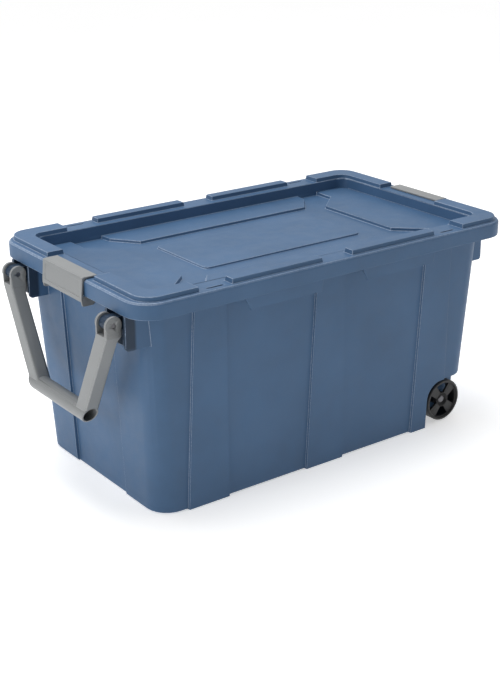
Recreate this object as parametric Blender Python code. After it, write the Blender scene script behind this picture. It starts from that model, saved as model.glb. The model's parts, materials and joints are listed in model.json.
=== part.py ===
"""Wheeled deck storage box with a latching lid and a swinging pull handle.

Metres, +Z up. The origin is the middle of the underside of the bin. X runs along
the length: the pull handle is at the -X end and the wheels are at the +X end.
"""
import math

import bmesh
import bpy
from mathutils import Vector

# ---------------------------------------------------------------- driving sizes
GAP = 0.0003                    # between pieces that rest on each other
SLIP = 0.0005                   # beside pieces that move past each other
WALL = 0.003                    # moulded wall of the bin and the lid
OVERLAP = 0.002                 # how far joined shapes run into each other

BIN_LENGTH = 0.8132             # over the underside
BIN_WIDTH = 0.443               # over the underside, between the ribs
BIN_HEIGHT = 0.4557             # top of the rim
BIN_DRAFT_X = 0.048             # lean of the end walls, metres per metre of height
BIN_DRAFT_Y = 0.026             # lean of the long walls
BIN_CORNER_LOW = 0.050          # corner radius at the underside
BIN_CORNER_HIGH = 0.036         # corner radius at the rim
BIN_FLOOR = 0.004
BIN_EDGE = 0.004                # rounding of the bottom edge

RIB_END_MARGIN = 0.1136         # from the end of the bin to the middle of the outer ribs
RIB_HALF_LOW = 0.048            # half the width of a side rib at the underside
RIB_HALF_HIGH = 0.0355          # and at the rim
RIB_PROUD = 0.005
RIB_BLEND = 0.0025              # slant of a rib's side

END_PANEL_HALF = 0.0965         # half the width of the sunk panel on the end walls
END_PANEL_DEPTH = 0.006
END_PANEL_TOP_MARGIN = 0.020    # the panel ends this far under the top of the rim

LID_OVERHANG_X = 0.039452       # skirt edge beyond the end walls
LID_OVERHANG_Y = 0.037024       # and beyond the long walls
LID_CORNER = 0.055
RIDGE_HEIGHT = 0.009            # stacking ridges over the rim shelf of the lid
SKIRT_DEPTH = 0.033             # skirt edge below the rim shelf
SKIRT_ROUND = 0.006
SKIRT_CLEARANCE = 0.0025        # between the skirt and the rim of the bin

RIM_LIP_DEPTH = 0.020           # turned-down edge of the rim
GRIP_FLAP_DEPTH = 0.055         # finger flaps hang this far under the rim
GRIP_FLAP_MARGINS = (0.2185, 0.2065)    # from the ends of the lid to the flaps
GRIP_FLAP_MIDDLE = (-0.038, 0.042)      # the flaps' other ends, from the middle
GRIP_FLAP_SLANT = 0.028
GRIP_FLAP_SLANT_FAR = 0.0093

PAN_DEPTH = 0.029               # floor of the sunk top below the rim shelf
PAN_CLEARANCE_X = 0.00274       # between the pan and the inside of the end panels
PAN_CLEARANCE_Y = 0.01168       # and the inside of the long walls
PAN_CORNER = 0.022
PAN_SLOPE = 0.003

RIDGE_LAND = 0.001              # corner ridges start this far outside the pan
RIDGE_MARGIN_X = 0.012          # from the skirt to the ridges
RIDGE_MARGIN_Y = 0.0085
RIDGE_CORNER = 0.040
RIDGE_SLOPE = 0.0015
BAR_WIDTH = 0.0265
LATCH_NOTCH_CLEARANCE = 0.0125  # from a latch to the corner ridges
BAR_MARGINS = (0.2065, 0.2125)  # from the ends of the lid to the front bars
BAR_MIDDLE = (-0.043, 0.031)    # the bars' other ends, from the middle
CORNER_RIDGE_MARGINS = (0.1335, 0.1325)  # from the ends of the lid to the ridges' tips
TIE_SLOT_MARGINS = (0.1725, 0.1695)     # from the ends of the lid to the slots' middles
TIE_SLOT_LENGTH = 0.038
TIE_SLOT_WIDTH = 0.005
TIE_SLOT_MARGIN_Y = 0.0168

PLATEAU_SLOPE = 0.0015
CENTRE_PANEL_MARGIN = (0.2100, 0.1235)  # from the edges of the pan, along X and Y
CENTRE_PANEL_RISE = 0.004
CENTRE_PANEL_CORNER = 0.012
END_PLATEAU_RISE = 0.007
END_PLATEAU_NEAR = (0.1425, 0.1050)     # corners of its stepped inner edge, from the pan's edges
END_PLATEAU_FAR = (0.0825, 0.0500)
SIDE_PLATEAU_RISE = 0.006
SIDE_PLATEAU_MARGINS = (0.1945, 0.2125)  # from the ends of the lid
SIDE_PLATEAU_DEPTH = 0.083      # how far it reaches in from the pan's edge
SIDE_PLATEAU_CUT = (0.042, 0.055)       # cut-off corners, along X and Y
SIDE_PLATEAU_SPLAY = 0.004

PIVOT_OUT = 0.0145              # pull handle pivot, outside the skirt
PIVOT_DROP = 0.018              # and below the skirt's edge
PIVOT_SIDE = 0.0385             # middle of each clevis, in from the side of the bin
CLEVIS_WIDTH = 0.038
CHEEK = 0.006                   # thickness of a clevis cheek
CHEEK_RADIUS = 0.0175
KNUCKLE_RADIUS = 0.013
PIN_RADIUS = 0.005
PIN_SHORT = 0.0015              # pin end below the cheek's face
ARM_BACK = 0.0115               # back of the arm behind the pivot
CLEVIS_DEPTH = 0.020            # from the pivot down to the crotch
ARM_BEND = 0.022                # from the pivot down to where the arm turns in
ARM_EDGE = 0.004
ARM_SHOULDER = 0.012            # height over which the arm's back widens to the cheeks
GRIP_DROP = 0.208               # from the pivot down to the middle of the grip
GRIP_OUT = 0.004                # the grip's middle, outside the pivot
GRIP_RADIUS = 0.0175
GRIP_BORE = 0.0145
GRIP_HALF = 0.0985              # half the length of the grip at its underside

EAR_CLEARANCE = 0.010           # between a clevis and the bracket plates beside it
EAR_THICK = 0.006
EAR_OUT = 0.0005                # front of the plates, outside the skirt
EAR_DROP = 0.049                # from the pivot down to the foot of the plates
EAR_ROUND = 0.007
KNUCKLE_WEB_IN = 0.008          # front of the knuckle's web, inside the skirt
KNUCKLE_WEB_EDGE = 0.004
STAY_SIDE = 0.0265              # middle of each wheel-end plate, in from the side of the bin
STAY_IN = 0.006                 # its front, inside the skirt
STAY_DROP = 0.074               # its foot, below the skirt's edge

LATCH_HALF = 0.0755             # half the width of a latch
LATCH_THICK = 0.0036
LATCH_LIP = 0.0286              # lip over the lid, in from the skirt
LATCH_DROP = 0.0105             # latch edge below the skirt
LATCH_CHEEK_DROP = 0.020        # its end cheeks go lower
LATCH_CHEEK = 0.0035
LATCH_PIVOT_IN = 0.0145         # latch pivot, inside the skirt
LATCH_PIVOT_DROP = 0.0095       # and below the skirt's edge
LATCH_PEG = 0.0035
LATCH_LUG_WALL = 0.0035         # lug round the peg
LATCH_LUG_DROP = 0.014
LATCH_LEAN = 0.0035             # the face stands out more at its lower edge
LATCH_FACE_GAP = 0.0007         # between the skirt and the latch
LATCH_LIP_GAP = 0.001           # between the shelf and the lip, the bead apart
LATCH_BEAD = 0.004              # width of the bead that holds the lid
LATCH_ROUND = 0.004             # rounding of its edges
LATCH_FOOT = 0.006              # height of its thicker lower edge
LATCH_BORDER = 0.0075
LATCH_SUNK = 0.0012

WHEEL_RADIUS = 0.0475
WHEEL_WIDTH = 0.035
WHEEL_LIFT = 0.002              # the wheels hang clear until the box is tipped
WHEEL_END_GAP = 0.0111          # from a wheel to the end of the bin
WHEEL_INSET_Y = 0.002           # outer face of each wheel, in from the side of the bin
WHEEL_SIDE_GAP = 0.0045
WHEEL_EDGE = 0.002
WHEEL_DISH = 0.010              # hub face below the wheel's face
WHEEL_WEB = 0.004               # spoke face below the wheel's face
RIM_THICK = 0.006
SPOKE_HALF = 0.0058
HUB_RADIUS = 0.0165
AXLE_RADIUS = 0.005
AXLE_BORE = 0.0054
WELL_GAP_X = 0.0115             # from a wheel to the well's wall
WELL_GAP_Z = 0.008              # and to its top
WELL_CORNER = 0.040
BOSS_SMALLER = 0.002            # boss in the well, less than the wheel's hub
AXLE_HEAD = 0.0085
AXLE_HEAD_THICK = 0.0032
AXLE_TAIL = 0.004               # axle end beyond the push nut
NUT_RADIUS = 0.011
NUT_THICK = 0.004
NUT_FLANGE = 0.0012

ROUND_STEPS = 28                # facets of a small round
CORNER_STEPS = 6                # facets of a rounded corner


def wall_x(z):
    """Half length over the end walls at height z."""
    return BIN_LENGTH / 2 + BIN_DRAFT_X * z


def wall_y(z):
    """Half width over the long walls at height z, between the ribs."""
    return BIN_WIDTH / 2 + BIN_DRAFT_Y * z


def wall_corner(z):
    """Radius of the bin's upright corners at height z."""
    share = z / BIN_HEIGHT
    return BIN_CORNER_LOW + (BIN_CORNER_HIGH - BIN_CORNER_LOW) * share


# ---------------------------------------------------------------- derived places
LID_UNDER_Z = BIN_HEIGHT + GAP
SHELF_Z = LID_UNDER_Z + WALL
LID_TOP = SHELF_Z + RIDGE_HEIGHT
SKIRT_Z = SHELF_Z - SKIRT_DEPTH
SKIRT_X = wall_x(SKIRT_Z) + LID_OVERHANG_X
SKIRT_Y = wall_y(SKIRT_Z) + LID_OVERHANG_Y
RIM_HALF_X = SKIRT_X - WALL - SKIRT_CLEARANCE
RIM_HALF_Y = SKIRT_Y - WALL - SKIRT_CLEARANCE
RIM_CORNER = LID_CORNER - WALL - SKIRT_CLEARANCE
RIB_SPACING = BIN_LENGTH / 2 - RIB_END_MARGIN
RIB_CENTRES = (-RIB_SPACING, 0.0, RIB_SPACING)
GRIP_FLAPS = ((GRIP_FLAP_MARGINS[0] - SKIRT_X, GRIP_FLAP_MIDDLE[0]),
              (GRIP_FLAP_MIDDLE[1], SKIRT_X - GRIP_FLAP_MARGINS[1]))

PAN_Z = SHELF_Z - PAN_DEPTH
PAN_HALF_X = wall_x(PAN_Z) - END_PANEL_DEPTH - 2 * WALL - PAN_CLEARANCE_X
PAN_HALF_Y = wall_y(PAN_Z) - 2 * WALL - PAN_CLEARANCE_Y
RIDGE_INNER_X = PAN_HALF_X + PAN_SLOPE + RIDGE_LAND
RIDGE_INNER_Y = PAN_HALF_Y + PAN_SLOPE + RIDGE_LAND
RIDGE_OUTER_X = SKIRT_X - RIDGE_MARGIN_X
RIDGE_OUTER_Y = SKIRT_Y - RIDGE_MARGIN_Y
BAR_NEAR = (BAR_MARGINS[0] - SKIRT_X, BAR_MIDDLE[0])
BAR_FAR = (BAR_MIDDLE[1], SKIRT_X - BAR_MARGINS[1])
CORNER_RIDGE_NEAR = SKIRT_X - CORNER_RIDGE_MARGINS[0]
CORNER_RIDGE_FAR = SKIRT_X - CORNER_RIDGE_MARGINS[1]
TIE_SLOTS = (TIE_SLOT_MARGINS[0] - SKIRT_X, SKIRT_X - TIE_SLOT_MARGINS[1])
TIE_SLOT_Y = SKIRT_Y - TIE_SLOT_MARGIN_Y
LATCH_NOTCH_HALF = LATCH_HALF + LATCH_NOTCH_CLEARANCE

PIVOT_X = -(SKIRT_X + PIVOT_OUT)
PIVOT_Z = SKIRT_Z - PIVOT_DROP
PIVOT_Y = BIN_WIDTH / 2 - PIVOT_SIDE
CHEEK_GAP = CLEVIS_WIDTH / 2 - CHEEK
GRIP_X = PIVOT_X - GRIP_OUT
GRIP_Z = PIVOT_Z - GRIP_DROP
ARM_FRONT_X = PIVOT_X - CHEEK_RADIUS
ARM_TURN_Z = PIVOT_Z - ARM_BEND
EAR_OFFSET = CLEVIS_WIDTH / 2 + EAR_CLEARANCE + EAR_THICK / 2
EAR_FRONT = SKIRT_X + EAR_OUT
EAR_FOOT_Z = PIVOT_Z - EAR_DROP
KNUCKLE_WEB_FRONT = -(SKIRT_X - KNUCKLE_WEB_IN)
STAY_Y = BIN_WIDTH / 2 - STAY_SIDE
LATCH_PIVOT_X = SKIRT_X - LATCH_PIVOT_IN
LATCH_PIVOT_Z = SKIRT_Z - LATCH_PIVOT_DROP

WHEEL_X = BIN_LENGTH / 2 - WHEEL_RADIUS - WHEEL_END_GAP
WHEEL_Z = WHEEL_RADIUS + WHEEL_LIFT
WHEEL_FACE_Y = BIN_WIDTH / 2 - WHEEL_INSET_Y
WELL_X = WHEEL_X - WHEEL_RADIUS - WELL_GAP_X
WELL_TOP = WHEEL_Z + WHEEL_RADIUS + WELL_GAP_Z
WELL_Y = WHEEL_FACE_Y - WHEEL_WIDTH - WHEEL_SIDE_GAP


# ---------------------------------------------------------------- modelling tools
def clear_scene():
    for obj in list(bpy.data.objects):
        bpy.data.objects.remove(obj)


def plastic(name, colour, roughness, metallic=0.0):
    material = bpy.data.materials.new(name)
    material.use_nodes = True
    shader = material.node_tree.nodes["Principled BSDF"]
    shader.inputs["Base Color"].default_value = (*colour, 1.0)
    shader.inputs["Roughness"].default_value = roughness
    shader.inputs["Metallic"].default_value = metallic
    return material


def new_object(name, mesh_data):
    obj = bpy.data.objects.new(name, mesh_data)
    bpy.context.scene.collection.objects.link(obj)
    return obj


def from_bmesh(name, bm):
    bmesh.ops.recalc_face_normals(bm, faces=bm.faces)
    mesh = bpy.data.meshes.new(name)
    bm.to_mesh(mesh)
    bm.free()
    return new_object(name, mesh)


def loft(name, rings):
    """A closed solid through rings of points, each ring with the same number."""
    bm = bmesh.new()
    rows = [[bm.verts.new(point) for point in ring] for ring in rings]
    count = len(rings[0])
    for low, high in zip(rows, rows[1:]):
        for i in range(count):
            j = (i + 1) % count
            bm.faces.new((low[i], low[j], high[j], high[i]))
    bm.faces.new(list(reversed(rows[0])))
    bm.faces.new(rows[-1])
    return from_bmesh(name, bm)


def ring_at(outline, z):
    return [(x, y, z) for x, y in outline]


def arc(centre, radius, start, end, steps):
    """Points on an arc, angles in degrees."""
    points = []
    for i in range(steps + 1):
        angle = math.radians(start + (end - start) * i / steps)
        points.append((centre[0] + radius * math.cos(angle), centre[1] + radius * math.sin(angle)))
    return points


def rounded(half_x, half_y, radius, centre=(0.0, 0.0), steps=CORNER_STEPS):
    """A rectangle with round corners."""
    points = []
    for sign_x, sign_y, start in ((1, 1, 0), (-1, 1, 90), (-1, -1, 180), (1, -1, 270)):
        corner = (centre[0] + sign_x * (half_x - radius), centre[1] + sign_y * (half_y - radius))
        points.extend(arc(corner, radius, start, start + 90, steps))
    return points


def slab(name, outline, z_low, z_high):
    return loft(name, (ring_at(outline, z_low), ring_at(outline, z_high)))


def box(name, low, high):
    outline = ((low[0], low[1]), (high[0], low[1]), (high[0], high[1]), (low[0], high[1]))
    return slab(name, outline, low[2], high[2])


def along_y(name, outline, y_low, y_high):
    """An outline in X and Z, run along Y."""
    rings = [[(x, y, z) for x, z in outline] for y in (y_low, y_high)]
    return loft(name, rings)


def rod(name, centre, radius, y_low, y_high, steps=ROUND_STEPS):
    return along_y(name, arc(centre, radius, 0, 360 - 360 / steps, steps - 1), y_low, y_high)


def turned(name, profile, centre, side, steps):
    """A closed profile of (radius, depth) turned about a Y axis, depth running inwards."""
    bm = bmesh.new()
    rows = []
    for i in range(steps):
        angle = 2 * math.pi * i / steps
        row = []
        for radius, y in profile:
            x = centre[0] + radius * math.cos(angle)
            z = centre[1] + radius * math.sin(angle)
            row.append(bm.verts.new((x, side * y, z)))
        rows.append(row)
    count = len(profile)
    for i in range(steps):
        row, following = rows[i], rows[(i + 1) % steps]
        for j in range(count):
            k = (j + 1) % count
            bm.faces.new((row[j], row[k], following[k], following[j]))
    return from_bmesh(name, bm)


def boolean(target, tool, operation):
    """Join the tool to the target, or cut it away, and take the tool out of the scene."""
    modifier = target.modifiers.new("boolean", "BOOLEAN")
    modifier.operation = operation
    modifier.solver = "EXACT"
    modifier.object = tool
    graph = bpy.context.evaluated_depsgraph_get()
    result = bpy.data.meshes.new_from_object(target.evaluated_get(graph))
    target.modifiers.remove(modifier)
    target.data = result
    bpy.data.objects.remove(tool)


def join(target, *tools):
    for tool in tools:
        boolean(target, tool, "UNION")


def cut(target, *tools):
    for tool in tools:
        boolean(target, tool, "DIFFERENCE")


def finish(obj, material, smooth_angle=32.0):
    """Give a piece its material and shade its round faces smooth."""
    mesh = obj.data
    bm = bmesh.new()
    bm.from_mesh(mesh)
    bmesh.ops.remove_doubles(bm, verts=bm.verts, dist=0.00001)
    bmesh.ops.dissolve_degenerate(bm, dist=0.00001, edges=bm.edges)
    bm.to_mesh(mesh)
    bm.free()
    mesh.materials.clear()
    mesh.materials.append(material)
    mesh.shade_smooth()
    mesh.set_sharp_from_angle(angle=math.radians(smooth_angle))


def set_origin(obj, point):
    """Move a piece's origin to a point and leave its shape where it is."""
    offset = Vector(point)
    for vertex in obj.data.vertices:
        vertex.co -= offset
    obj.location = offset


# ---------------------------------------------------------------- bin
def wall_ring(z, inset=0.0, height=None):
    """The bin's outline at height z, moved in by inset, drawn at another height if given."""
    outline = rounded(wall_x(z) - inset, wall_y(z) - inset, wall_corner(z) - inset)
    return ring_at(outline, z if height is None else height)


def rib(name, centre, side, narrower, proud):
    """One upright rib of a long wall, wider at its foot."""
    rings = []
    for z, half in ((0.0, RIB_HALF_LOW), (BIN_HEIGHT, RIB_HALF_HIGH)):
        inner = side * (wall_y(z) - WALL - OVERLAP)
        outer = side * (wall_y(z) + proud)
        wide = half - narrower + RIB_BLEND
        slim = half - narrower
        rings.append([(centre - wide, inner, z), (centre + wide, inner, z),
                      (centre + slim, outer, z), (centre - slim, outer, z)])
    return loft(name, rings)


def end_block(name, side, half_width, depth, z_low, z_high):
    """A block over an end wall, from depth inside the wall out past the rim."""
    rings = []
    for z in (z_low, z_high):
        inner = side * (wall_x(z) - depth)
        outer = side * (SKIRT_X + OVERLAP)
        rings.append([(inner, -half_width, z), (outer, -half_width, z),
                      (outer, half_width, z), (inner, half_width, z)])
    return loft(name, rings)


def well_block(name, side, spread):
    """The space of a wheel well, grown all round by spread."""
    far = wall_x(BIN_HEIGHT) + OVERLAP
    left = WELL_X - spread
    top = WELL_TOP + spread
    radius = WELL_CORNER + spread
    outline = [(left, -OVERLAP), (far, -OVERLAP), (far, top)]
    outline.extend(arc((left + radius, top - radius), radius, 90, 180, 2 * CORNER_STEPS))
    y_inner = side * (WELL_Y - spread)
    y_outer = side * (RIM_HALF_Y + OVERLAP)
    return along_y(name, outline, min(y_inner, y_outer), max(y_inner, y_outer))


def storage_space():
    """The hollow of the bin, kept a wall away from every outer face."""
    rings = [wall_ring(BIN_FLOOR, WALL), wall_ring(BIN_HEIGHT, WALL, BIN_HEIGHT + OVERLAP)]
    space = loft("space", rings)
    for side in (-1, 1):
        for centre in RIB_CENTRES:
            hollow = rib("hollow", centre, side, WALL, RIB_PROUD - WALL)
            cut(hollow, box("floor", (-1, -1, -1), (1, 1, BIN_FLOOR)))
            join(space, hollow)
    for side in (-1, 1):
        pad_top = BIN_HEIGHT + 2 * OVERLAP
        cut(space, end_block("pad", side, END_PANEL_HALF + WALL, END_PANEL_DEPTH + WALL, 0.0, pad_top))
        cut(space, well_block("well", side, WALL))
    return space


def rim():
    """The flat rim with its turned-down edge and the finger flaps of the long sides."""
    z_low = BIN_HEIGHT - RIM_LIP_DEPTH
    ring = slab("rim", rounded(RIM_HALF_X, RIM_HALF_Y, RIM_CORNER), z_low, BIN_HEIGHT)
    hollow = rounded(RIM_HALF_X - WALL, RIM_HALF_Y - WALL, RIM_CORNER - WALL)
    cut(ring, slab("hollow", hollow, z_low - OVERLAP, BIN_HEIGHT - WALL))
    foot = BIN_HEIGHT - GRIP_FLAP_DEPTH
    top = BIN_HEIGHT - WALL / 2
    for side in (-1, 1):
        outer = side * RIM_HALF_Y
        inner = side * (RIM_HALF_Y - WALL)
        for start, end in GRIP_FLAPS:
            outline = [(start + GRIP_FLAP_SLANT, foot), (end - GRIP_FLAP_SLANT_FAR, foot),
                       (end, top), (start, top)]
            join(ring, along_y("flap", outline, min(inner, outer), max(inner, outer)))
    return ring


def plate(end, centre_y, front, foot):
    """An upright plate between an end wall and the rim, square to the wall."""
    root = wall_x(foot) - wall_corner(foot)
    shoulder = SKIRT_Z - SLIP
    neck = RIM_HALF_X - WALL / 2
    top = BIN_HEIGHT - WALL / 2
    corner = (front - EAR_ROUND, foot + EAR_ROUND)
    outline = [(root, foot)] + arc(corner, EAR_ROUND, -90, 0, CORNER_STEPS)
    outline.extend([(front, shoulder), (neck, shoulder), (neck, top), (root, top)])
    outline = [(end * x, z) for x, z in outline]
    return along_y("plate", outline, centre_y - EAR_THICK / 2, centre_y + EAR_THICK / 2)


def knuckle(side):
    """The eye that the handle's clevis closes round, with its web to the end wall."""
    half = CHEEK_GAP - SLIP
    middle = side * PIVOT_Y
    root = -(wall_x(EAR_FOOT_Z) - wall_corner(EAR_FOOT_Z))
    web = [(root, EAR_FOOT_Z), (KNUCKLE_WEB_FRONT + KNUCKLE_WEB_EDGE, EAR_FOOT_Z),
           (KNUCKLE_WEB_FRONT, EAR_FOOT_Z + KNUCKLE_WEB_EDGE),
           (KNUCKLE_WEB_FRONT, PIVOT_Z - KNUCKLE_RADIUS), (PIVOT_X, PIVOT_Z - KNUCKLE_RADIUS),
           (PIVOT_X, PIVOT_Z + KNUCKLE_RADIUS), (KNUCKLE_WEB_FRONT, PIVOT_Z + KNUCKLE_RADIUS),
           (KNUCKLE_WEB_FRONT, BIN_HEIGHT - WALL / 2), (root, BIN_HEIGHT - WALL / 2)]
    block = along_y("web", web, middle - half, middle + half)
    pivot = (PIVOT_X, PIVOT_Z)
    join(block, rod("eye", pivot, KNUCKLE_RADIUS, middle - half, middle + half))
    return block


def latch_lug(end, side):
    """A lug of the end wall that a latch's peg turns in."""
    y_outer = LATCH_HALF - LATCH_CHEEK - SLIP
    y_inner = y_outer - LATCH_CHEEK
    root = wall_x(LATCH_PIVOT_Z) - END_PANEL_DEPTH - WALL / 2
    radius = LATCH_PEG + LATCH_LUG_WALL
    low = LATCH_PIVOT_Z - LATCH_LUG_DROP
    high = LATCH_PIVOT_Z + radius
    outline = [(end * root, low), (end * root, high), (end * LATCH_PIVOT_X, high)]
    start, stop = (90, -60) if end > 0 else (90, 240)
    outline.extend(arc((end * LATCH_PIVOT_X, LATCH_PIVOT_Z), radius, start, stop, 8)[1:])
    ends = sorted((side * y_inner, side * y_outer))
    return along_y("lug", outline, *ends)


def make_bin(material):
    rings = [wall_ring(0.0, BIN_EDGE), wall_ring(BIN_EDGE / 3, BIN_EDGE / 3), wall_ring(BIN_EDGE)]
    rings.append(wall_ring(BIN_HEIGHT))
    body = loft("bin_body", rings)
    for side in (-1, 1):
        for centre in RIB_CENTRES:
            join(body, rib("rib", centre, side, 0.0, RIB_PROUD))
        panel_top = BIN_HEIGHT - END_PANEL_TOP_MARGIN
        cut(body, end_block("panel", side, END_PANEL_HALF, END_PANEL_DEPTH, -OVERLAP, panel_top))
    join(body, rim())
    for side in (-1, 1):
        for offset in (-EAR_OFFSET, EAR_OFFSET):
            join(body, plate(-1, side * PIVOT_Y + offset, EAR_FRONT, EAR_FOOT_Z))
        join(body, knuckle(side))
        join(body, plate(1, side * STAY_Y, SKIRT_X - STAY_IN, SKIRT_Z - STAY_DROP))
        for end in (-1, 1):
            join(body, latch_lug(end, side))
        cut(body, well_block("well", side, 0.0))
    cut(body, storage_space())
    for side in (-1, 1):
        face = WELL_Y + WHEEL_SIDE_GAP - SLIP
        root = WELL_Y - WALL / 2
        ends = sorted((side * root, side * face))
        join(body, rod("boss", (WHEEL_X, WHEEL_Z), HUB_RADIUS - BOSS_SMALLER, *ends))
        ends = sorted((side * (WELL_Y - 2 * WALL), side * (face + OVERLAP)))
        cut(body, rod("axle_hole", (WHEEL_X, WHEEL_Z), AXLE_BORE, *ends))
        ends = sorted((side * (PIVOT_Y - CHEEK_GAP), side * (PIVOT_Y + CHEEK_GAP)))
        cut(body, rod("pin_hole", (PIVOT_X, PIVOT_Z), PIN_RADIUS + GAP, *ends))
        for end in (-1, 1):
            ends = sorted((side * (LATCH_HALF - 4 * LATCH_CHEEK), side * LATCH_HALF))
            cut(body, rod("peg_hole", (end * LATCH_PIVOT_X, LATCH_PIVOT_Z), LATCH_PEG + GAP, *ends, 16))
    for sign in (-1, 1):
        for centre in TIE_SLOTS:
            cut(body, tie_slot(sign, centre, SLIP))
    finish(body, material)
    return body


# ---------------------------------------------------------------- lid
def tie_slot(sign, centre, spread):
    """A slot for a strap or cable through the lid's shelf and the bin's rim."""
    middle = (sign * centre, -TIE_SLOT_Y if sign > 0 else TIE_SLOT_Y)
    half_x = TIE_SLOT_LENGTH / 2 + spread
    half_y = TIE_SLOT_WIDTH / 2 + spread
    outline = rounded(half_x, half_y, half_y - OVERLAP / 2, middle, 3)
    return slab("slot", outline, BIN_HEIGHT - 2 * WALL, LID_TOP + OVERLAP)


def sloped(name, outline_low, outline_high, z_low, z_high):
    return loft(name, (ring_at(outline_low, z_low), ring_at(outline_high, z_high)))


def inset_outline(outline, distance):
    """An outline without sharp inward corners, moved in by distance."""
    points = []
    count = len(outline)
    for i in range(count):
        before, here, after = (Vector(outline[(i + k) % count]) for k in (-1, 0, 1))
        first = (here - before).normalized()
        second = (after - here).normalized()
        normal_a = Vector((-first.y, first.x))
        normal_b = Vector((-second.y, second.x))
        bisector = (normal_a + normal_b).normalized()
        points.append(tuple(here + bisector * (distance / max(0.3, bisector.dot(normal_a)))))
    return points


def turned_about(outline):
    """The same outline turned half a turn about Z."""
    return [(-x, -y) for x, y in outline]


def bar_outline(start, end):
    """A stacking bar along the front edge of the lid."""
    inner = BAR_WIDTH - RIDGE_OUTER_Y
    return [(start, -RIDGE_OUTER_Y), (end, -RIDGE_OUTER_Y), (end, inner), (start, inner)]


def corner_outline(reach, sign_x):
    """An L-shaped ridge round a front corner of the lid, reach being its long-side end."""
    x_out, y_out = RIDGE_OUTER_X, RIDGE_OUTER_Y
    x_in, y_in = RIDGE_INNER_X, RIDGE_INNER_Y
    inner_radius = PAN_CORNER
    outer = arc((x_out - RIDGE_CORNER, -y_out + RIDGE_CORNER), RIDGE_CORNER, -90, 0, CORNER_STEPS)
    inner = arc((x_in - inner_radius, -y_in + inner_radius), inner_radius, 0, -90, CORNER_STEPS)
    points = [(reach, -y_out)] + outer + [(x_out, -LATCH_NOTCH_HALF), (x_in, -LATCH_NOTCH_HALF)]
    points += inner + [(reach, -y_in)]
    if sign_x < 0:
        points = [(-x, y) for x, y in reversed(points)]
    return points


def ridge_outlines():
    front = [bar_outline(*BAR_NEAR), bar_outline(*BAR_FAR)]
    front.append(corner_outline(CORNER_RIDGE_NEAR, -1))
    front.append(corner_outline(CORNER_RIDGE_FAR, 1))
    return front + [turned_about(outline) for outline in front]


def end_plateau(sign):
    """The raised end of the pan, stepped narrower towards the middle."""
    edge = PAN_HALF_X + OVERLAP
    side = PAN_HALF_Y + OVERLAP
    radius = PAN_CORNER + OVERLAP
    near = (PAN_HALF_X - END_PLATEAU_NEAR[0], PAN_HALF_Y - END_PLATEAU_NEAR[1])
    far = (PAN_HALF_X - END_PLATEAU_FAR[0], PAN_HALF_Y - END_PLATEAU_FAR[1])
    points = [(near[0], -near[1]), (far[0], -far[1]), (far[0], -side)]
    points += arc((edge - radius, -side + radius), radius, -90, 0, CORNER_STEPS)
    points += arc((edge - radius, side - radius), radius, 0, 90, CORNER_STEPS)
    points += [(far[0], side), far, near]
    return points if sign > 0 else turned_about(points)


def side_plateau(sign):
    """The raised strip along a long side of the pan."""
    edge = PAN_HALF_Y + OVERLAP
    start = SIDE_PLATEAU_MARGINS[0] - SKIRT_X
    end = SKIRT_X - SIDE_PLATEAU_MARGINS[1]
    cut_x, cut_y = SIDE_PLATEAU_CUT
    inner = PAN_HALF_Y - SIDE_PLATEAU_DEPTH
    shoulder = inner + cut_y
    points = [(start - SIDE_PLATEAU_SPLAY, -edge), (end + SIDE_PLATEAU_SPLAY, -edge), (end, -shoulder),
              (end - cut_x, -inner), (start + cut_x, -inner), (start, -shoulder)]
    return points if sign > 0 else turned_about(points)


def centre_panel():
    half_x = PAN_HALF_X - CENTRE_PANEL_MARGIN[0]
    half_y = PAN_HALF_Y - CENTRE_PANEL_MARGIN[1]
    return rounded(half_x, half_y, CENTRE_PANEL_CORNER, steps=3)


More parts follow.
